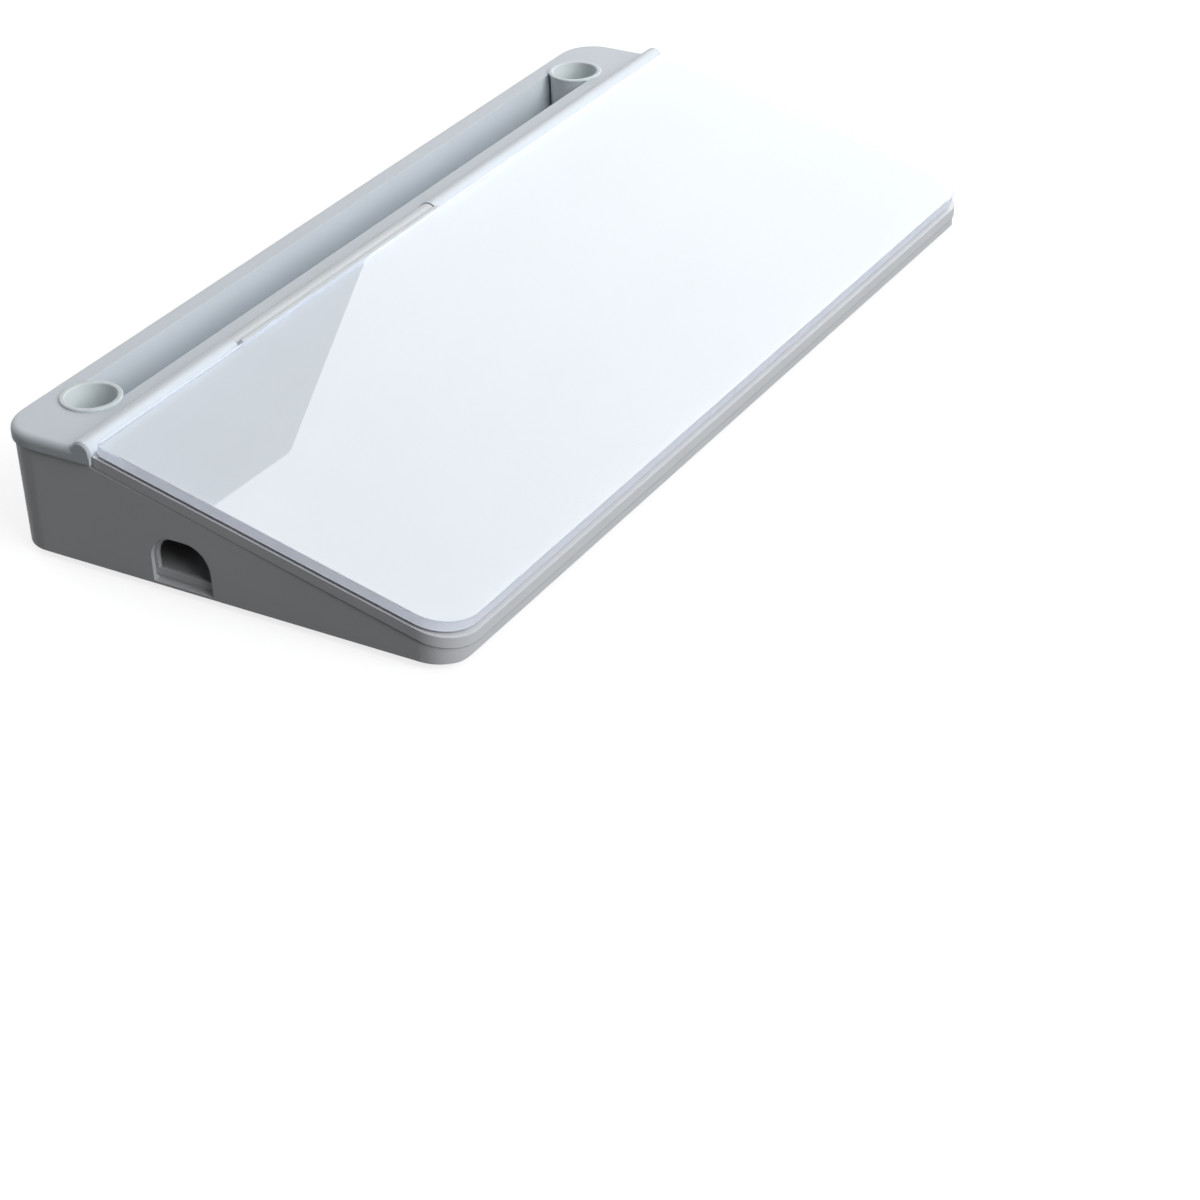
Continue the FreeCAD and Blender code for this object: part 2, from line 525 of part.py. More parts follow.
# Rear deck: a skirted plate with the pen trough, hinge bars, snap hooks and screw posts
def make_rear_deck():
    body = make_body("rear_deck")
    lip_y = "hinge_y - skirt_lip"
    plan = make_sketch(body, "deck_plan", "XY_Plane", "seam_z")
    add_outline(plan, [
        ("-deck_half", lip_y), ("deck_half", lip_y),
        ("deck_half", "rear_y", "rear_radius"), ("-deck_half", "rear_y", "rear_radius"),
    ])
    extrude(body, "Pad", plan, "deck_skirt")
    top, lip = value("deck_z"), value(lip_y)
    dress(body, "Fillet", "deck_edge", lambda edge: is_level(edge, top) and not near(edge.BoundBox.YMax, lip))
    hollow = make_sketch(body, "deck_hollow", "XY_Plane", "seam_z")
    half, front, rear = "deck_half - skirt_wall", f"{lip_y} - overrun", "rear_y - skirt_wall"
    corner = "rear_radius - skirt_wall"
    add_outline(hollow, [
        (f"-({half})", front), (half, front), (half, rear, corner), (f"-({half})", rear, corner),
    ])
    extrude(body, "Pocket", hollow, "deck_skirt - deck_plate", reverse=True)

    tub = make_sketch(body, "trough_tub", "XY_Plane", "deck_z")
    add_trough(tub, "trough_wall")
    extrude(body, "Pad", tub, "trough_depth + trough_wall", reverse=True)
    well = make_sketch(body, "trough_well", "XY_Plane", "deck_z")
    add_trough(well, "0")
    extrude(body, "Pocket", well, "trough_depth")

    groove = make_sketch(body, "bar_groove_section", "YZ_Plane")
    groove_end, groove_floor = "hinge_y + bar_radius + bar_groove", "deck_z - bar_groove_depth"
    add_box(groove, "hinge_y", groove_end, groove_floor, "deck_z + overrun")
    extrude(body, "Pocket", groove, "body_width", symmetric=True)
    bar = make_sketch(body, "bar_section", "YZ_Plane")
    add_circle(bar, "hinge_y", "hinge_z", "2 * bar_radius")
    extrude(body, "Pad", bar, "2 * bar_half", symmetric=True)
    for side, sign in SIDES:
        end = make_sketch(body, f"bar_end_{side}", "YZ_Plane", f"{sign}bar_half")
        add_circle(end, "hinge_y", "hinge_z", "2 * bar_radius")
        extrude(body, "Pad", end, "bar_bevel", reverse=side == "left", taper="-bevel_angle")
    strip = make_sketch(body, "strip_section", "YZ_Plane")
    add_box(strip, "hinge_y - strip_reach", "hinge_y", "strip_z", "strip_z + strip_thickness")
    extrude(body, "Pad", strip, "2 * (rim_half - fit_gap)", symmetric=True)

    gap = make_sketch(body, "hinge_gap", "XY_Plane", "hinge_z + bar_radius + overrun")
    gap_front, gap_rear = "hinge_y - strip_reach - overrun", "hinge_y + barrel_radius + 2 * fit_gap"
    add_box(gap, "hinge_left", "hinge_right", gap_front, gap_rear)
    extrude(body, "Pocket", gap, "2 * (bar_radius + overrun)")
    for side, sign in SIDES:
        bore = make_sketch(body, f"bar_bore_{side}", "YZ_Plane", f"hinge_{side}")
        add_circle(bore, "hinge_y", "hinge_z", "pin_bore")
        extrude(body, "Pocket", bore, "pin_depth + fit_gap", reverse=side == "right")

    hook_front, barb_top = "hook_y - hook_thickness", "barb_z + hook_barb"
    for number, x in enumerate(HOOKS, 1):
        hook = make_sketch(body, f"snap_hook_{number}", "YZ_Plane", x)
        add_outline(hook, [
            (hook_front, "barb_z"), ("hook_y", "barb_z"), ("hook_y + hook_barb", barb_top),
            ("hook_y", barb_top), ("hook_y", "strip_z"), (hook_front, "strip_z"),
        ])
        extrude(body, "Pad", hook, "hook_width", symmetric=True)

    posts = make_sketch(body, "screw_posts", "XY_Plane", "boss_top_z")
    pilots = make_sketch(body, "screw_pilots", "XY_Plane", "boss_top_z")
    for x, y in SCREWS:
        add_circle(posts, x, y, "boss_diameter")
        add_circle(pilots, x, y, "screw_shank + 2 * run_gap")
    extrude(body, "Pad", posts, "deck_z - deck_plate - boss_top_z")
    extrude(body, "Pocket", pilots, "screw_bite + fit_gap", reverse=True)


def make_pen_cups():
    top, lip, inner = "trough_depth + cup_lip_height", "cup_radius + cup_lip", "cup_radius - cup_wall"
    for side, sign in SIDES:
        body = make_body(f"pen_cup_{side}", f"{sign}cup_x", "trough_y", "deck_z - trough_depth")
        section = make_sketch(body, f"cup_section_{side}", "XZ_Plane")
        add_outline(section, [
            ("0", "0"), ("cup_radius", "0"), ("cup_radius", "trough_depth"), (lip, "trough_depth"),
            (lip, top), (inner, top), (inner, "cup_wall"), ("0", "cup_wall"),
        ])
        revolve(body, section)


# Lid: glass backed with white film, bumpers, and the hinge plate taped to its back
def make_glass_panel():
    body = make_lid_body("glass_panel")
    plan = make_sketch(body, "glass_plan", "XY_Plane", "glass_back")
    add_plan(plan, "glass_half", "-glass_front", "-glass_rear", "glass_radius", "glass_rear_radius")
    extrude(body, "Pad", plan, "glass_thickness")
    dress(body, "Chamfer", "glass_arris", lambda edge: is_level(edge, edge.CenterOfMass.z))


def make_backing_film():
    body = make_lid_body("backing_film")
    plan = make_sketch(body, "film_plan", "XY_Plane", "glass_back")
    add_plan(plan, "glass_half - film_inset", "-glass_front + film_inset", "-glass_rear - film_inset",
             "glass_radius - film_inset", "glass_rear_radius - film_inset")
    extrude(body, "Pad", plan, "film_thickness", reverse=True)


def make_plate_tape():
    body = make_lid_body("plate_tape")
    plan = make_sketch(body, "tape_plan", "XY_Plane", "film_back")
    near_edge = "-glass_rear - film_inset - tape_inset"
    add_box(plan, "plate_left + tape_inset", "plate_right - tape_inset", "-plate_end + tape_inset", near_edge)
    extrude(body, "Pad", plan, "tape_thickness", reverse=True)


def make_hinge_plate():
    body = make_lid_body("hinge_plate")
    plan = make_sketch(body, "plate_plan", "XY_Plane", "plate_top")
    add_box(plan, "plate_left", "plate_right", "-plate_end", "-plate_start", "plate_radius")
    extrude(body, "Pad", plan, "plate_thickness", reverse=True)
    barrel = make_sketch(body, "barrel_round", "YZ_Plane", "barrel_left")
    add_circle(barrel, "0", "0", "2 * barrel_radius")
    extrude(body, "Pad", barrel, "barrel_length")
    land = make_sketch(body, "barrel_land", "YZ_Plane", "barrel_left")
    web_end, face = "-plate_start - plate_radius", "-glass_rear + fit_gap"
    add_outline(land, [
        (web_end, "plate_back"), ("0", "plate_back"), ("-land_rear", "land_top", "land_round"),
        (face, "land_top"), (face, "plate_top"), (web_end, "plate_top"),
    ])
    extrude(body, "Pad", land, "barrel_length")

    hollow = make_sketch(body, "barrel_channel", "YZ_Plane", "barrel_left + knuckle_width")
    mouth = "-barrel_radius - overrun"
    add_outline(hollow, [
        ("-channel_half", mouth), ("channel_half", mouth),
        ("channel_half", "channel_half", "channel_round"), ("-channel_half", "channel_half", "channel_round"),
    ])
    first = extrude(body, "Pocket", hollow, "channel_cell", reverse=True)
    cells = body.newObject("PartDesign::LinearPattern", "barrel_channels")
    cells.Originals = [first]
    cells.Direction = (origin_part(body, "X_Axis"), [""])
    cells.setExpression("Length", spell("2 * (channel_cell + channel_rib)"))
    cells.Occurrences = 3
    body.Tip = cells
    doc.recompute()
    for side, end in (("left", "barrel_left"), ("right", "barrel_left + barrel_length")):
        bore = make_sketch(body, f"plate_bore_{side}", "YZ_Plane", end)
        add_circle(bore, "0", "0", "pin_bore")
        extrude(body, "Pocket", bore, "pin_reach + fit_gap", reverse=side == "left")


def make_lid_bumpers():
    bottom = value("rim_top + rest_gap")
    for side, sign in SIDES:
        body = make_lid_body(f"lid_bumper_{side}")
        disc = make_sketch(body, f"bumper_disc_{side}", "XY_Plane", "film_back")
        x, y = f"{sign}(glass_half - bumper_side)", "-glass_front + bumper_front"
        add_circle(disc, x, y, "bumper_diameter")
        extrude(body, "Pad", disc, "film_back - rim_top - rest_gap", reverse=True)
        dress(body, "Chamfer", "bumper_edge", lambda edge: is_level(edge, bottom))


def make_hinge_pins():
    starts = (("left", "hinge_left - pin_depth"), ("right", "hinge_right - knuckle_gap - pin_reach"))
    for side, start in starts:
        body = make_body(f"hinge_pin_{side}", start, "hinge_y", "hinge_z")
        section = make_sketch(body, f"pin_section_{side}", "YZ_Plane")
        add_circle(section, "0", "0", "pin_diameter")
        extrude(body, "Pad", section, "pin_depth + knuckle_gap + pin_reach")


def make_hinge_clips():
    foot, bridge = "strip_z - clip_height", "strip_z - clip_bridge"
    places = (("left", "hinge_left - clip_setback"), ("right", "hinge_right + clip_setback"))
    for side, middle in places:
        body = make_body(f"hinge_clip_{side}")
        left, right = f"{middle} - clip_width / 2", f"{middle} + clip_width / 2"
        face = make_sketch(body, f"clip_face_{side}", "XZ_Plane", "-hook_y")
        add_outline(face, [
            (left, foot), (f"{left} + clip_prong", foot), (f"{left} + clip_prong", bridge),
            (f"{right} - clip_prong", bridge), (f"{right} - clip_prong", foot), (right, foot),
            (right, "strip_z"), (left, "strip_z"),
        ])
        extrude(body, "Pad", face, "clip_thickness")


def foot_places():
    ends = (("front", "front_y + foot_front"), ("rear", "rear_y - foot_rear"))
    return [(f"foot_{end}_{side}", f"{sign}foot_x", y) for end, y in ends for side, sign in SIDES]


def make_rubber_feet():
    radius = "foot_diameter / 2"
    for name, x, y in foot_places():
        body = make_body(name, x, y)
        section = make_sketch(body, f"{name}_section", "XZ_Plane")
        add_outline(section, [
            ("0", "0"), (f"{radius} - foot_bevel", "0"), (radius, "foot_bevel"),
            (radius, "foot_height"), ("0", "foot_height"),
        ])
        revolve(body, section)


def make_case_screws():
    body = make_body("case_screws")
    heads = make_sketch(body, "screw_heads", "XY_Plane", "screw_seat_z")
    shanks = make_sketch(body, "screw_shanks", "XY_Plane", "screw_seat_z")
    for x, y in SCREWS:
        add_circle(heads, x, y, "screw_head")
        add_circle(shanks, x, y, "screw_shank")
    extrude(body, "Pad", heads, "screw_head_height", reverse=True)
    extrude(body, "Pad", shanks, "boss_top_z + screw_bite - screw_seat_z")


make_lower_shell()
make_storage_tray()
make_rear_deck()
make_pen_cups()
make_glass_panel()
make_backing_film()
make_plate_tape()
make_hinge_plate()
make_lid_bumpers()
make_hinge_pins()
make_hinge_clips()
make_rubber_feet()
make_case_screws()
doc.recompute()

for item in doc.Objects:
    if {"Invalid", "Error"} & set(item.State):
        raise ValueError(f"{item.Label} failed: {item.State}")
pieces = [item for item in doc.Objects if item.TypeId == "PartDesign::Body"]
for piece in pieces:
    if piece.Shape.isNull() or not piece.Shape.isValid():
        raise ValueError(f"{piece.Label} has no valid shape")

os.makedirs("parts", exist_ok=True)
for piece in pieces:
    piece.Shape.exportStep(f"parts/{piece.Label}.step")
    print(f"{piece.Label}: {len(piece.Shape.Solids)} solid, {piece.Shape.Volume:.0f} mm3")
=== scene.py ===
import json
import math

import bmesh
import bpy
from mathutils import Matrix, Quaternion, Vector

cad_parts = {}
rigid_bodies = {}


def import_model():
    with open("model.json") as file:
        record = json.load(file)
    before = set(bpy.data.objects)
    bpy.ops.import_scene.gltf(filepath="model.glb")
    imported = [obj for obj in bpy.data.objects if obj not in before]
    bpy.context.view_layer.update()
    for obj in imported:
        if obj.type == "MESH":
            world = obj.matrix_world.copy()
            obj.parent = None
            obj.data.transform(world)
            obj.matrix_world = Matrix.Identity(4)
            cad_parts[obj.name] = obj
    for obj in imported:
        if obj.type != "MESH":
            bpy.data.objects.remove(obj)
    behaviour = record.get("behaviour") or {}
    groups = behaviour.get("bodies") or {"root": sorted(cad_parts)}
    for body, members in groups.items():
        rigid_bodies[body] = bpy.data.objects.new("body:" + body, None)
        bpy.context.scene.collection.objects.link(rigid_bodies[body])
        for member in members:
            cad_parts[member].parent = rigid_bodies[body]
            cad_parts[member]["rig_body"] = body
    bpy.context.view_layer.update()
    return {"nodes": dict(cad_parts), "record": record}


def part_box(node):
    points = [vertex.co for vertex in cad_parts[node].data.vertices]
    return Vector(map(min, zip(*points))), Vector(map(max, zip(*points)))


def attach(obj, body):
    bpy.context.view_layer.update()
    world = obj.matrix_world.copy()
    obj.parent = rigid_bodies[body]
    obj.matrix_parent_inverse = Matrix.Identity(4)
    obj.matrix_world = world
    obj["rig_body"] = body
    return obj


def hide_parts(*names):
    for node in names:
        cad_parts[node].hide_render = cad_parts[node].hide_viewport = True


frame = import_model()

nodes = frame["nodes"]
mm = 0.001  # everything below is in metres
weld = 0.001 * mm  # points closer than this are one
up = Vector((0, 0, 1))
glassFace = max(nodes["glass_panel"].data.polygons, key=lambda face: face.normal.z * face.area)
glassSpot = glassFace.center.copy()  # a point on the writing face of the closed lid
lidNormal = glassFace.normal.copy()
print("frame loaded:", len(nodes), "nodes")


# Camera: front left and above, as the closed board was photographed
cameraView = {
    "place": Vector((-0.86648, -0.55787, 0.53304)),
    "azimuth": -58.52,  # degrees
    "elevation": 31.57,
    "roll": -2.16,
    "lens": 93.97,  # mm
    "sensor": 36.0,
    "frame": 1200,  # pixels along a side of the photograph
    "nearest": 0.05,
    "farthest": 50.0,
}


def addCamera(look):
    turn, lift, roll = (math.radians(look[key]) for key in ("azimuth", "elevation", "roll"))
    back = Vector((math.sin(turn) * math.cos(lift), -math.cos(turn) * math.cos(lift), math.sin(lift)))
    data = bpy.data.cameras.new("boardCamera")
    data.lens, data.sensor_width = look["lens"], look["sensor"]
    data.clip_start, data.clip_end = look["nearest"], look["farthest"]
    camera = bpy.data.objects.new("boardCamera", data)
    camera.rotation_mode = "QUATERNION"
    camera.location = look["place"]
    camera.rotation_quaternion = back.to_track_quat("Z", "Y") @ Quaternion((0, 0, 1), roll)
    bpy.context.scene.collection.objects.link(camera)
    bpy.context.scene.camera = camera
    return camera


camera = addCamera(cameraView)
print("camera placed")


# Node helpers: put a node in a tree, with sockets linked or set
def put(tree, kind, inputs=None, **settings):
    node = tree.nodes.new(kind)
    for name, setting in settings.items():
        setattr(node, name, setting)
    for name, source in (inputs or {}).items():
        if isinstance(source, bpy.types.NodeSocket):
            tree.links.new(source, node.inputs[name])
        else:
            node.inputs[name].default_value = source
    return node


def maths(tree, operation, first, second, third=0.0):
    return put(tree, "ShaderNodeMath", {0: first, 1: second, 2: third}, operation=operation).outputs[0]


def mixColour(tree, factor, first, second, blend="MIX"):
    inputs = {0: factor, 6: first, 7: second}  # a Mix node has its colours at 6 and 7, and their mix at 2
    return put(tree, "ShaderNodeMix", inputs, data_type="RGBA", blend_type=blend).outputs[2]


def spread(tree, source, low, high, to=(0.0, 1.0)):
    inputs = {"Value": source, "From Min": low, "From Max": high, "To Min": to[0], "To Max": to[1]}
    return put(tree, "ShaderNodeMapRange", inputs).outputs["Result"]


def noise(tree, place, scale, detail, distortion=0.0):
    inputs = {"Vector": place, "Scale": scale, "Detail": detail, "Distortion": distortion}
    return put(tree, "ShaderNodeTexNoise", inputs).outputs[0]


def newGroup(name, inputs, outputs):
    tree = bpy.data.node_groups.new(name, "ShaderNodeTree")
    for label, kind, start in inputs:
        socket = tree.interface.new_socket(name=label, in_out="INPUT", socket_type="NodeSocket" + kind)
        socket.default_value = start
    for label, kind in outputs:
        tree.interface.new_socket(name=label, in_out="OUTPUT", socket_type="NodeSocket" + kind)
    return tree, tree.nodes.new("NodeGroupInput").outputs, tree.nodes.new("NodeGroupOutput").inputs


# Moulded skin: fine spark grain, broad mottling of the colour and a roughness that follows both
skinLook = {
    "fineDetail": 3.0,
    "fineRange": (0.3, 0.7),
    "fineRough": 0.08,
    "broadScale": 24.0,
    "broadDetail": 4.0,
    "broadRange": (0.35, 0.65),
    "broadRough": 0.06,
}


def makeMouldedSkin(look):
    tree, given, out = newGroup(
        "mouldedSkin",
        [("Colour", "Color", (0.8, 0.8, 0.8, 1)), ("Grain", "Float", 2600.0), ("Mottle", "Float", 0.03),
         ("Gloss", "Float", 0.35)],
        [("Colour", "Color"), ("Roughness", "Float"), ("Height", "Float")])
    place = put(tree, "ShaderNodeTexCoord").outputs["Object"]
    fine = noise(tree, place, given["Grain"], look["fineDetail"])
    broad = noise(tree, place, look["broadScale"], look["broadDetail"])
    dip = maths(tree, "MULTIPLY", spread(tree, broad, *look["broadRange"]), given["Mottle"])
    shade = maths(tree, "SUBTRACT", 1.0, dip)
    tree.links.new(mixColour(tree, 1.0, given["Colour"], shade, "MULTIPLY"), out["Colour"])
    grain = spread(tree, fine, *look["fineRange"])
    rough = maths(tree, "MULTIPLY_ADD", grain, look["fineRough"], given["Gloss"])
    tree.links.new(maths(tree, "MULTIPLY_ADD", broad, look["broadRough"], rough), out["Roughness"])
    tree.links.new(fine, out["Height"])
    return tree


# Settled dust: patches on faces that look up
dustLook = {
    "colour": (0.62, 0.61, 0.59, 1),
    "level": (0.55, 0.98),  # how far up a face has to look
    "patchScale": 70.0,
    "patchDetail": 6.0,
    "patchRange": (0.45, 0.7),
    "speckScale": 900.0,
    "speckDetail": 1.0,
    "speckRange": (0.4, 0.75),
}


def makeSettledDust(look):
    tree, given, out = newGroup("settledDust", [("Amount", "Float", 0.1)], [("Mask", "Float")])
    coords = put(tree, "ShaderNodeTexCoord").outputs
    lean = put(tree, "ShaderNodeSeparateXYZ", {0: coords["Normal"]}).outputs["Z"]
    level = spread(tree, lean, *look["level"])
    patch = noise(tree, coords["Object"], look["patchScale"], look["patchDetail"])
    speck = noise(tree, coords["Object"], look["speckScale"], look["speckDetail"])
    patch = spread(tree, patch, *look["patchRange"])
    lying = maths(tree, "MULTIPLY", patch, spread(tree, speck, *look["speckRange"]))
    settled = maths(tree, "MULTIPLY", level, lying)
    tree.links.new(maths(tree, "MULTIPLY", settled, given["Amount"]), out["Mask"])
    return tree


# Painted corner shade: a little darkening painted into the colour where walls meet, where shade falls
cornerShadeLook = {"colour": (0.40, 0.40, 0.40, 1), "samples": 8}


def makePaintedCornerShade(look):
    tree, given, out = newGroup(
        "paintedCornerShade", [("Reach", "Float", 0.003), ("Amount", "Float", 0.3)], [("Mask", "Float")])
    # painted shade: the more shut in a point is, the darker its colour is painted
    nearby = put(tree, "ShaderNodeAmbientOcclusion", {"Distance": given["Reach"]}, samples=look["samples"],
                 only_local=True)
    shut = maths(tree, "SUBTRACT", 1.0, nearby.outputs["AO"])
    tree.links.new(maths(tree, "MULTIPLY", shut, given["Amount"]), out["Mask"])
    return tree


# Hand marks: soft smears on glass and film
markLook = {"turn": 0.5, "stretch": 3.2, "detail": 5.0, "distortion": 0.6, "range": (0.5, 0.75)}


def makeHandMarks(look):
    tree, given, out = newGroup("handMarks", [("Size", "Float", 9.0)], [("Mask", "Float")])
    place = put(tree, "ShaderNodeTexCoord").outputs["Object"]
    stretched = put(tree, "ShaderNodeMapping", {
        "Vector": place, "Rotation": (0, 0, look["turn"]), "Scale": (1, look["stretch"], 1)})
    smear = noise(tree, stretched.outputs[0], given["Size"], look["detail"], look["distortion"])
    tree.links.new(spread(tree, smear, *look["range"]), out["Mask"])
    return tree


mouldedSkin = makeMouldedSkin(skinLook)
settledDust = makeSettledDust(dustLook)
paintedCornerShade = makePaintedCornerShade(cornerShadeLook)
handMarks = makeHandMarks(markLook)
print("surface effects built")


def emptyMaterial(name):
    material = bpy.data.materials.new(name)
    material.use_nodes = True
    material.node_tree.nodes.clear()
    return material, material.node_tree


def showShader(tree, shader):
    put(tree, "ShaderNodeOutputMaterial", {"Surface": shader})


def newMaterial(name):
    material, tree = emptyMaterial(name)
    shader = put(tree, "ShaderNodeBsdfPrincipled")
    showShader(tree, shader.outputs[0])
    return material, tree, shader.inputs


def placeGroup(tree, group, **values):
    return put(tree, "ShaderNodeGroup", values, node_tree=group).outputs


# Surface relief, with edges softened where a radius is given
reliefLook = {"strength": 0.35, "samples": 4}


def softNormal(tree, height, depth, edge=0.0):
    inputs = {"Height": height, "Strength": reliefLook["strength"], "Distance": depth}
    if edge:
        soft = put(tree, "ShaderNodeBevel", {"Radius": edge}, samples=reliefLook["samples"])
        inputs["Normal"] = soft.outputs[0]
    return put(tree, "ShaderNodeBump", inputs).outputs[0]


# Moulded plastics: one finish, with each moulding's own tone; the bluer tone of the deck and the cups is
# painted cool light falling from above on the same white plastic
plasticFinish = {
    "shell_plastic": {"colour": (0.74, 0.75, 0.765, 1), "gloss": 0.34, "grain": 2400.0, "edge": 0.5 * mm},
    "tray_plastic": {"colour": (0.76, 0.77, 0.785, 1), "gloss": 0.30, "grain": 2900.0, "edge": 0.4 * mm},
    # painted cool light: the deck's and the cups' blue tint stands for the cool light on the top
    "deck_plastic": {"colour": (0.74, 0.785, 0.825, 1), "gloss": 0.30, "grain": 2400.0, "edge": 0.5 * mm},
    "cup_plastic": {"colour": (0.79, 0.84, 0.85, 1), "gloss": 0.26, "grain": 3200.0, "edge": 0.0},
    "plate_plastic": {"colour": (0.755, 0.775, 0.795, 1), "gloss": 0.32, "grain": 2600.0, "edge": 0.35 * mm},
}
plasticWearAndShade = {
    "dust": 0.12,
    "dustRough": 0.5,
    # painted shade: how dark the corners are painted, and how far that reaches
    "paintedShade": 0.22,
    "paintedShadeReach": 2.5 * mm,
    "depth": 0.02 * mm,  # of the grain
    "specular": 0.3,
}


def makePlastic(name, look, wear):
    material, tree, shader = newMaterial(name)
    skin = placeGroup(tree, mouldedSkin, Colour=look["colour"], Grain=look["grain"], Gloss=look["gloss"])
    dust = placeGroup(tree, settledDust, Amount=wear["dust"])[0]
    # dust is real; the corner darkening mixed in next is painted shade
    paintedShade = placeGroup(tree, paintedCornerShade, Reach=wear["paintedShadeReach"], Amount=wear["paintedShade"])[0]
    dusty = mixColour(tree, dust, skin["Colour"], dustLook["colour"])
    tree.links.new(mixColour(tree, paintedShade, dusty, cornerShadeLook["colour"]), shader["Base Color"])
    rough = maths(tree, "MULTIPLY_ADD", dust, wear["dustRough"], skin["Roughness"])
    tree.links.new(rough, shader["Roughness"])
    tree.links.new(softNormal(tree, skin["Height"], wear["depth"], look["edge"]), shader["Normal"])
    shader["Specular IOR Level"].default_value = wear["specular"]
    return material


# Float glass with ground edges
glassFinish = {
    "tint": (0.925, 0.985, 0.97, 1),
    "edgeTint": (0.88, 0.93, 0.935, 1),
    "edgeLean": (0.98, 0.6),  # from the faces to the edges, by how far a face leans from them
    "toneScale": 6.0,
    "toneRange": (0.3, 0.7),
    "tone": (0.985, 1.0),
    "markSize": 11.0,
    "clean": 0.012,  # roughness of the faces
    "smeared": 0.05,
    "gritScale": 3000.0,
    "gritRange": (0.3, 0.7),
    "ground": (0.32, 0.52),  # roughness of the edges
    "detail": 2.0,
    "frost": 0.9,  # share of light that the ground edges scatter
    "frostTint": (0.60, 0.62, 0.67, 1),
    "innerFrost": (0.43, 0.45, 0.50, 1),  # tint of the light that comes out from inside
    "refraction": 1.5,
}


def makeGlass(look):
    material, tree = emptyMaterial("board_glass")
    coords = put(tree, "ShaderNodeTexCoord").outputs
    lean = put(tree, "ShaderNodeVectorMath", {0: coords["Normal"], 1: lidNormal}, operation="DOT_PRODUCT")
    edge = spread(tree, maths(tree, "ABSOLUTE", lean.outputs["Value"], 0.0), *look["edgeLean"])
    tone = noise(tree, coords["Object"], look["toneScale"], look["detail"])
    tone = spread(tree, tone, *look["toneRange"], look["tone"])
    tinted = mixColour(tree, edge, look["tint"], look["edgeTint"])
    marks = placeGroup(tree, handMarks, Size=look["markSize"])[0]
    polished = spread(tree, marks, 0.0, 1.0, (look["clean"], look["smeared"]))
    grit = noise(tree, coords["Object"], look["gritScale"], look["detail"])
    ground = maths(tree, "MULTIPLY", edge, spread(tree, grit, *look["gritRange"], look["ground"]))
    clear = put(tree, "ShaderNodeBsdfPrincipled", {
        "Base Color": mixColour(tree, 1.0, tinted, tone, "MULTIPLY"),
        "Roughness": maths(tree, "MAXIMUM", polished, ground),
        "Transmission Weight": 1.0,
        "IOR": look["refraction"],
    }).outputs[0]
    outer = put(tree, "ShaderNodeBsdfDiffuse", {"Color": look["frostTint"]}).outputs[0]
    inner = put(tree, "ShaderNodeBsdfTranslucent", {"Color": look["innerFrost"]}).outputs[0]
    frost = put(tree, "ShaderNodeAddShader", {0: outer, 1: inner}).outputs[0]
    frosted = maths(tree, "MULTIPLY", edge, look["frost"])
    solid = put(tree, "ShaderNodeMixShader", {0: frosted, 1: clear, 2: frost}).outputs[0]
    shadow = put(tree, "ShaderNodeLightPath").outputs["Is Shadow Ray"]
    passing = put(tree, "ShaderNodeBsdfTransparent").outputs[0]
    showShader(tree, put(tree, "ShaderNodeMixShader", {0: shadow, 1: solid, 2: passing}).outputs[0])
    return material


# White film behind the glass
filmFinish = {
    "colour": (0.725, 0.715, 0.785, 1),
    "gloss": 0.42,
    "grain": 5200.0,
    "mottle": 0.02,
    "depth": 0.008 * mm,
    "markSize": 7.0,
    "markRough": -0.06,
}


def makeFilm(look):
    material, tree, shader = newMaterial("white_film")
    skin = placeGroup(tree, mouldedSkin, Colour=look["colour"], Grain=look["grain"], Mottle=look["mottle"],
                      Gloss=look["gloss"])
    marks = placeGroup(tree, handMarks, Size=look["markSize"])[0]
    tree.links.new(skin["Colour"], shader["Base Color"])
    rough = maths(tree, "MULTIPLY_ADD", marks, look["markRough"], skin["Roughness"])
    tree.links.new(rough, shader["Roughness"])
    tree.links.new(softNormal(tree, skin["Height"], look["depth"]), shader["Normal"])
    return material


# Foam tape with open cells
foamFinish = {
    "colour": (0.70, 0.70, 0.68, 1),
    "cell": 1700.0,
    "cellRange": (0.0, 0.8),
    "shade": (0.72, 1.0),
    "rough": (0.95, 0.75),
    "depth": 0.15 * mm,
}


def makeFoam(look):
    material, tree, shader = newMaterial("foam_tape")
    place = put(tree, "ShaderNodeTexCoord").outputs["Object"]
    cell = put(tree, "ShaderNodeTexVoronoi", {"Vector": place, "Scale": look["cell"]}).outputs["Distance"]
    shade = spread(tree, cell, *look["cellRange"], look["shade"])
    tree.links.new(mixColour(tree, 1.0, look["colour"], shade, "MULTIPLY"), shader["Base Color"])
    tree.links.new(spread(tree, cell, 0.0, 1.0, look["rough"]), shader["Roughness"])
    tree.links.new(softNormal(tree, cell, look["depth"]), shader["Normal"])
    return material


# Steels: ground pins and zinc plated screws
steelFinish = {
    "pin_steel": {"colour": (0.62, 0.62, 0.64, 1), "rough": 0.13, "lines": (60.0, 6000.0, 6000.0)},
    "screw_steel": {"colour": (0.66, 0.67, 0.70, 1), "rough": 0.19, "lines": (2500.0, 2500.0, 300.0)},
}
steelWear = {
    "lineDetail": 4.0,
    "lineRough": 0.22,
    "depth": 0.01 * mm,
    "bloomScale": 500.0,
    "bloomDetail": 3.0,
    "bloomRange": (0.3, 0.7),
    "bloomShade": (0.82, 1.0),
}


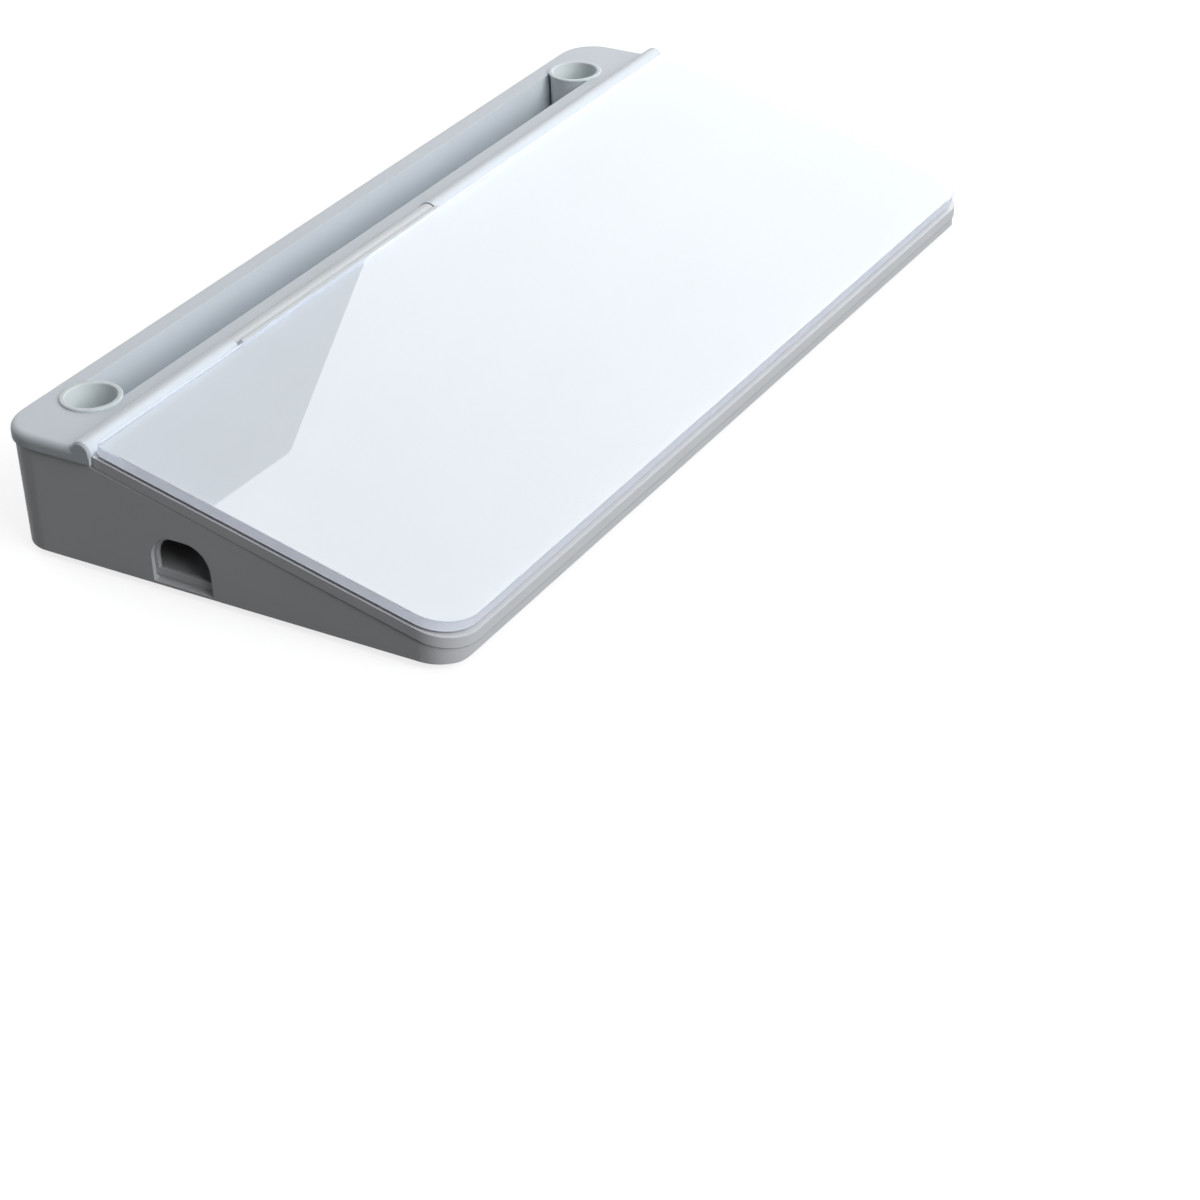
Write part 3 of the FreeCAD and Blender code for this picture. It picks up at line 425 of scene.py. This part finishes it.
def makeSteel(name, look, wear):
    material, tree, shader = newMaterial(name)
    place = put(tree, "ShaderNodeTexCoord").outputs["Object"]
    drawn = put(tree, "ShaderNodeMapping", {"Vector": place, "Scale": look["lines"]}).outputs[0]
    line = noise(tree, drawn, 1.0, wear["lineDetail"])
    bloom = noise(tree, place, wear["bloomScale"], wear["bloomDetail"])
    shade = spread(tree, bloom, *wear["bloomRange"], wear["bloomShade"])
    tree.links.new(mixColour(tree, 1.0, look["colour"], shade, "MULTIPLY"), shader["Base Color"])
    rough = maths(tree, "MULTIPLY_ADD", line, wear["lineRough"], look["rough"])
    tree.links.new(rough, shader["Roughness"])
    tree.links.new(softNormal(tree, line, wear["depth"]), shader["Normal"])
    shader["Metallic"].default_value = 1.0
    return material


# Clear clips, silicone bumpers and rubber feet
softFinish = {
    "clear_plastic": {"colour": (0.86, 0.89, 0.90, 1), "gloss": 0.12, "grain": 1500.0, "clear": 0.75},
    "bumper_rubber": {"colour": (0.83, 0.83, 0.845, 1), "gloss": 0.34, "grain": 2200.0, "clear": 0.2},
    "foot_rubber": {"colour": (0.36, 0.365, 0.37, 1), "gloss": 0.62, "grain": 1800.0, "clear": 0.0},
}
softWear = {"mottle": 0.06, "dust": 0.2, "depth": 0.03 * mm, "refraction": 1.45}


def makeSoft(name, look, wear):
    material, tree, shader = newMaterial(name)
    skin = placeGroup(tree, mouldedSkin, Colour=look["colour"], Grain=look["grain"], Mottle=wear["mottle"],
                      Gloss=look["gloss"])
    dust = placeGroup(tree, settledDust, Amount=wear["dust"])[0]
    tree.links.new(mixColour(tree, dust, skin["Colour"], dustLook["colour"]), shader["Base Color"])
    tree.links.new(skin["Roughness"], shader["Roughness"])
    tree.links.new(softNormal(tree, skin["Height"], wear["depth"]), shader["Normal"])
    shader["Transmission Weight"].default_value = look["clear"]
    shader["IOR"].default_value = wear["refraction"]
    return material


materials = {name: makePlastic(name, look, plasticWearAndShade) for name, look in plasticFinish.items()}
materials["board_glass"] = makeGlass(glassFinish)
materials["white_film"] = makeFilm(filmFinish)
materials["foam_tape"] = makeFoam(foamFinish)
materials.update({name: makeSteel(name, look, steelWear) for name, look in steelFinish.items()})
materials.update({name: makeSoft(name, look, softWear) for name, look in softFinish.items()})
print("finishes made:", len(materials))


# Every CAD node takes the finish of its slot
slotOf = {part["node"]: part["material_slot"] for part in frame["record"]["subparts"]}
for name, node in nodes.items():
    node.data.materials.clear()
    node.data.materials.append(materials[slotOf[name]])
print("nodes dressed")


def finishPiece(name, mesh):
    data = bpy.data.meshes.new(name)
    mesh.to_mesh(data)
    mesh.free()
    piece = bpy.data.objects.new(name, data)
    bpy.context.scene.collection.objects.link(piece)
    return piece


def standFor(piece, node):
    piece.data.materials.append(materials[slotOf[node]])
    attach(piece, nodes[node]["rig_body"])
    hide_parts(node)


# Turned pieces: a half section with rounded corners, spun about an upright axis and then set along another
cornerRound = {"segments": 5, "profile": 0.5}


def turnSection(mesh, section, rounds, steps):
    line = [mesh.verts.new((radius, 0, height)) for radius, height in section]
    for pair in zip(line, line[1:]):
        mesh.edges.new(pair)
    for vert, width in zip(line, rounds):
        if width:
            bmesh.ops.bevel(mesh, geom=[vert], offset=width, offset_type="OFFSET", affect="VERTICES",
                            material=-1, **cornerRound)
    bmesh.ops.spin(mesh, geom=mesh.verts[:] + mesh.edges[:], axis=up, cent=(0, 0, 0), angle=2 * math.pi,
                   steps=steps, use_merge=True)
    bmesh.ops.remove_doubles(mesh, verts=mesh.verts[:], dist=weld)
    bmesh.ops.recalc_face_normals(mesh, faces=mesh.faces[:])


def turnPiece(name, section, rounds, centre, steps, along=up):
    mesh = bmesh.new()
    turnSection(mesh, section, rounds, steps)
    turn = up.rotation_difference(along).to_matrix().to_4x4()
    bmesh.ops.transform(mesh, matrix=Matrix.Translation(centre) @ turn, verts=mesh.verts[:])
    for face in mesh.faces:
        face.smooth = True
    return finishPiece(name, mesh)


# White film, its front a hair behind the glass so that their faces don't coincide
whiteFilm = {"clear": 0.03 * mm}


def makeWhiteFilm(look):
    mesh = bmesh.new()
    mesh.from_mesh(nodes["backing_film"].data)
    bmesh.ops.remove_doubles(mesh, verts=mesh.verts[:], dist=weld)
    middle = sum((vert.co for vert in mesh.verts), Vector()) / len(mesh.verts)
    front = [vert for vert in mesh.verts if (vert.co - middle).dot(lidNormal) > 0]
    bmesh.ops.translate(mesh, vec=-look["clear"] * lidNormal, verts=front)
    standFor(finishPiece("whiteFilm", mesh), "backing_film")


makeWhiteFilm(whiteFilm)
print("film set")


# Pen cups with a rolled lip, slimmer than that of the solids
penCup = {
    "wall": 1.2 * mm,
    "solidLip": 1.1 * mm,
    "lip": 0.6 * mm,
    "lipHeight": 0.9 * mm,
    "foot": 1.0 * mm,  # roundings, from the underside up over the lip and down inside
    "neck": 0.2 * mm,
    "lipUnder": 0.12 * mm,
    "lipOuter": 0.3 * mm,
    "lipInner": 0.5 * mm,
    "floor": 1.2 * mm,
    "steps": 96,
}


def makePenCups(look):
    for side in ("left", "right"):
        low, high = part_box(f"pen_cup_{side}")
        centre = (low + high) / 2
        centre.z = low.z
        outer, tall = (high.x - low.x) / 2 - look["solidLip"], high.z - low.z
        inner, lip, neck = outer - look["wall"], outer + look["lip"], tall - look["lipHeight"]
        section = [(0, 0), (outer, 0), (outer, neck), (lip, neck), (lip, tall), (inner, tall),
                   (inner, look["wall"]), (0, look["wall"])]
        corners = ("foot", "neck", "lipUnder", "lipOuter", "lipInner", "floor")
        rounds = [0] + [look[corner] for corner in corners] + [0]
        cup = turnPiece(f"penCup{side.title()}", section, rounds, centre, look["steps"])
        standFor(cup, f"pen_cup_{side}")


makePenCups(penCup)
print("pen cups turned")


# Bumpers under the lid: flat discs with a sloped ring round the free face
lidBumper = {"ring": 1.1 * mm, "ringHeight": 0.5 * mm, "soften": 0.3 * mm, "steps": 72}


def makeLidBumpers(look):
    slope = lidNormal.angle(up)
    for side in ("left", "right"):
        low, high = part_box(f"lid_bumper_{side}")
        wide = high.x - low.x
        half = (high.z - low.z - wide * math.sin(slope)) / math.cos(slope) / 2
        radius = wide / 2
        section = [(0, -half), (radius - look["ring"], -half), (radius, look["ringHeight"] - half),
                   (radius, half), (0, half)]
        rounds = [0, look["soften"], look["soften"] / 2, 0, 0]
        centre = (low + high) / 2
        bumper = turnPiece(f"lidBumper{side.title()}", section, rounds, centre, look["steps"], lidNormal)
        standFor(bumper, f"lid_bumper_{side}")


makeLidBumpers(lidBumper)
print("bumpers turned")


# Rubber feet with a shallow dish underneath
rubberFoot = {
    "edge": 0.9 * mm,
    "top": 0.1 * mm,
    "dish": 0.35 * mm,
    "dishShare": 0.5,
    "dishSlope": 0.5 * mm,
    "dishRound": 0.15 * mm,
    "steps": 72,
}


def makeRubberFeet(look):
    for end in ("front", "rear"):
        for side in ("left", "right"):
            node = f"foot_{end}_{side}"
            low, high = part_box(node)
            radius, tall = (high.x - low.x) / 2, high.z - low.z
            dish = radius * look["dishShare"]
            section = [(0, look["dish"]), (dish, look["dish"]), (dish + look["dishSlope"], 0), (radius, 0),
                       (radius, tall), (0, tall)]
            rounds = [0, look["dishRound"], look["dishRound"], look["edge"], look["top"], 0]
            centre = Vector(((low.x + high.x) / 2, (low.y + high.y) / 2, low.z))
            foot = turnPiece(f"foot{end.title()}{side.title()}", section, rounds, centre, look["steps"])
            standFor(foot, node)


makeRubberFeet(rubberFoot)
print("feet turned")


# Case screws: pan heads with a cross recess, threaded shanks and a blunt tip
caseScrew = {
    "head": 5.0 * mm,
    "headHeight": 1.6 * mm,
    "crown": 0.7 * mm,
    "crownRounds": [0, 0.3 * mm, 0.5 * mm],
    "crossWidth": 0.8 * mm,
    "crossLength": 2.7 * mm,
    "crossDepth": 0.9 * mm,
    "cutWeld": 0.0001 * mm,
    "flat": 0.1 * mm,  # the head's face is nearer than this to its lowest point
    "down": -0.9,  # and looks down further than this
    "shank": 2.6 * mm,
    "thread": 0.3 * mm,
    "pitch": 1.1 * mm,
    "steps": 40,
}


def cutCross(mesh, look):
    # split the head's face along the arms of the cross, then sink the pieces inside them
    width, length = look["crossWidth"] / 2, look["crossLength"] / 2
    for axis in (Vector((1, 0, 0)), Vector((0, 1, 0))):
        for distance in (-length, -width, width, length):
            geometry = mesh.verts[:] + mesh.edges[:] + mesh.faces[:]
            bmesh.ops.bisect_plane(mesh, geom=geometry, dist=look["cutWeld"], plane_co=axis * distance,
                                   plane_no=axis)
    arms = []
    for face in mesh.faces:
        x, y, z = face.calc_center_median()
        far, close = max(abs(x), abs(y)), min(abs(x), abs(y))
        if face.normal.z < look["down"] and z < look["flat"] and far < length and close < width:
            arms.append(face)
    sunk = bmesh.ops.extrude_face_region(mesh, geom=arms)["geom"]
    bmesh.ops.delete(mesh, geom=arms, context="FACES_ONLY")
    verts = [part for part in sunk if isinstance(part, bmesh.types.BMVert)]
    bmesh.ops.translate(mesh, vec=up * look["crossDepth"], verts=verts)


def makeCaseScrews(look):
    low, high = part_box("case_screws")
    head, shank = look["head"] / 2, look["shank"] / 2
    tall, root = high.z - low.z, shank - look["thread"]
    section = [(0, 0), (head - look["crown"], 0), (head, look["crown"]), (head, look["headHeight"]),
               (shank, look["headHeight"])]
    height = look["headHeight"] + look["pitch"]
    while height + look["pitch"] < tall:
        section += [(shank, height), (root, height + look["pitch"] / 2)]
        height += look["pitch"]
    section += [(root, tall), (0, tall)]
    both = bmesh.new()
    for x in (low.x + head, high.x - head):
        screw = bmesh.new()
        turnSection(screw, section, look["crownRounds"], look["steps"])
        cutCross(screw, look)
        spot = Vector((x, (low.y + high.y) / 2, low.z))
        bmesh.ops.transform(screw, matrix=Matrix.Translation(spot), verts=screw.verts[:])
        data = bpy.data.meshes.new("caseScrew")
        screw.to_mesh(data)
        screw.free()
        both.from_mesh(data)
        bpy.data.meshes.remove(data)
    standFor(finishPiece("caseScrews", both), "case_screws")


makeCaseScrews(caseScrew)
print("screws cut")


# Stage: a pale floor under a soft key from the right, a front fill and a lamp behind
white = (1, 1, 1, 1)
stageLook = {
    "floorSize": 14.0,
    "floorColour": (0.50, 0.50, 0.505, 1),
    "floorBounce": (0.09, 0.09, 0.093, 1),  # what the floor gives back to the object
    "floorLift": 0.78,
    "mirrored": 0.5,  # share of the floor's glare that shiny surfaces see
    "sky": 0.05,
}


def straightSight(tree, mirrored=1.0):
    # 1 for what the camera sees directly or through glass, 0 for light that a surface has scattered
    path = put(tree, "ShaderNodeLightPath").outputs
    shine = maths(tree, "MULTIPLY", path["Is Glossy Ray"], mirrored)
    direct = maths(tree, "MAXIMUM", path["Is Camera Ray"], shine)
    direct = maths(tree, "MAXIMUM", direct, path["Is Transmission Ray"])
    return maths(tree, "MULTIPLY", direct, maths(tree, "LESS_THAN", path["Diffuse Depth"], 0.5))


def makeFloor(look):
    bpy.ops.mesh.primitive_plane_add(size=look["floorSize"], location=(0, 0, 0))
    floor = bpy.context.object
    floor.name = "studioFloor"
    material, tree = emptyMaterial("studioFloor")
    direct = straightSight(tree, look["mirrored"])
    colour = mixColour(tree, direct, look["floorBounce"], look["floorColour"])
    matte = put(tree, "ShaderNodeBsdfDiffuse", {"Color": colour}).outputs[0]
    lift = maths(tree, "MULTIPLY", direct, look["floorLift"])
    glow = put(tree, "ShaderNodeEmission", {"Color": white, "Strength": lift}).outputs[0]
    showShader(tree, put(tree, "ShaderNodeAddShader", {0: matte, 1: glow}).outputs[0])
    floor.data.materials.append(material)


def makeWorld(look):
    world = bpy.data.worlds.new("studioWorld")
    bpy.context.scene.world = world
    world.use_nodes = True
    tree = world.node_tree
    tree.nodes.clear()
    strength = spread(tree, straightSight(tree), 0.0, 1.0, (look["sky"], 1.0))
    sky = put(tree, "ShaderNodeBackground", {"Color": white, "Strength": strength})
    put(tree, "ShaderNodeOutputWorld", {"Surface": sky.outputs[0]})


# Key lamp near by, which is brighter at the right end
keyLamp = {"place": Vector((0.48, -0.36, 0.80)), "power": 2.0, "size": 0.55, "colour": (0.95, 0.975, 1)}

# Lamps far off: direction to the lamp, strength, softness in degrees
farLamps = {
    "fillLamp": {
        "towards": Vector((-0.10, -0.85, 0.51)), "strength": 2.1, "soft": 50.0, "colour": (0.96, 0.98, 1)},
    "backLamp": {
        "towards": Vector((0.35, 0.88, 0.25)), "strength": 1.5, "soft": 60.0, "colour": (0.97, 0.985, 1)},
}


def addLamp(name, data, towards):
    lamp = bpy.data.objects.new(name, data)
    lamp.rotation_mode = "QUATERNION"
    lamp.rotation_quaternion = towards.to_track_quat("Z", "Y")
    # glass lets lamplight pass as shadow rays, so refracted rays mustn't find the lamps again
    lamp.visible_glossy = lamp.visible_transmission = False
    bpy.context.scene.collection.objects.link(lamp)
    return lamp


def addLamps(near, far):
    data = bpy.data.lights.new("keyLamp", "AREA")
    data.energy, data.size, data.color = near["power"], near["size"], near["colour"]
    addLamp("keyLamp", data, near["place"]).location = near["place"]
    for name, look in far.items():
        data = bpy.data.lights.new(name, "SUN")
        data.energy, data.angle, data.color = look["strength"], math.radians(look["soft"]), look["colour"]
        addLamp(name, data, look["towards"])


# A bright wall mirrored in the glass: its edges meet at a corner, seen at these pixels of the photograph
mirrorWall = {
    "sidePixel": (205, 512),
    "cornerPixel": (290, 452),
    "hingePixel": (372, 243),
    "brightPixel": (600, 330),
    "reach": 1.6,
    "size": 5.0,
    "strength": 3.8,
}


def pixelRay(pixel):
    half = cameraView["frame"] / 2
    focal = cameraView["lens"] / cameraView["sensor"] * cameraView["frame"]
    ray = Vector((pixel[0] - half, half - pixel[1], -focal)).normalized()
    return camera.rotation_quaternion @ ray


def mirrorRay(pixel):
    # where a pixel's line of sight meets the glass, and which way it is mirrored
    ray = pixelRay(pixel)
    reach = (glassSpot - cameraView["place"]).dot(lidNormal) / ray.dot(lidNormal)
    return cameraView["place"] + ray * reach, ray - 2 * ray.dot(lidNormal) * lidNormal


def addMirrorWall(look):
    marks = [mirrorRay(look[key]) for key in ("sidePixel", "cornerPixel", "hingePixel", "brightPixel")]
    facing = sum((away for hit, away in marks), Vector()).normalized()
    side, corner, hinge, bright = (hit + away * (look["reach"] / away.dot(facing)) for hit, away in marks)
    side, hinge, bright = ((spot - corner).normalized() * look["size"] for spot in (side, hinge, bright))
    mesh = bmesh.new()
    spots = (corner, corner + side, corner + side + bright, corner + bright, corner + hinge + bright,
             corner + hinge)
    verts = [mesh.verts.new(spot) for spot in spots]
    for first, second, third in ((1, 2, 3), (3, 4, 5)):
        mesh.faces.new([verts[0], verts[first], verts[second], verts[third]])
    wall = finishPiece("mirrorWall", mesh)
    material, tree = emptyMaterial("mirrorWall")
    glow = put(tree, "ShaderNodeEmission", {"Color": white, "Strength": look["strength"]})
    showShader(tree, glow.outputs[0])
    wall.data.materials.append(material)
    wall.visible_camera = wall.visible_diffuse = wall.visible_shadow = wall.visible_transmission = False


makeFloor(stageLook)
makeWorld(stageLook)
addLamps(keyLamp, farLamps)
addMirrorWall(mirrorWall)
bpy.context.scene.view_settings.view_transform = "Standard"
print("stage lit")
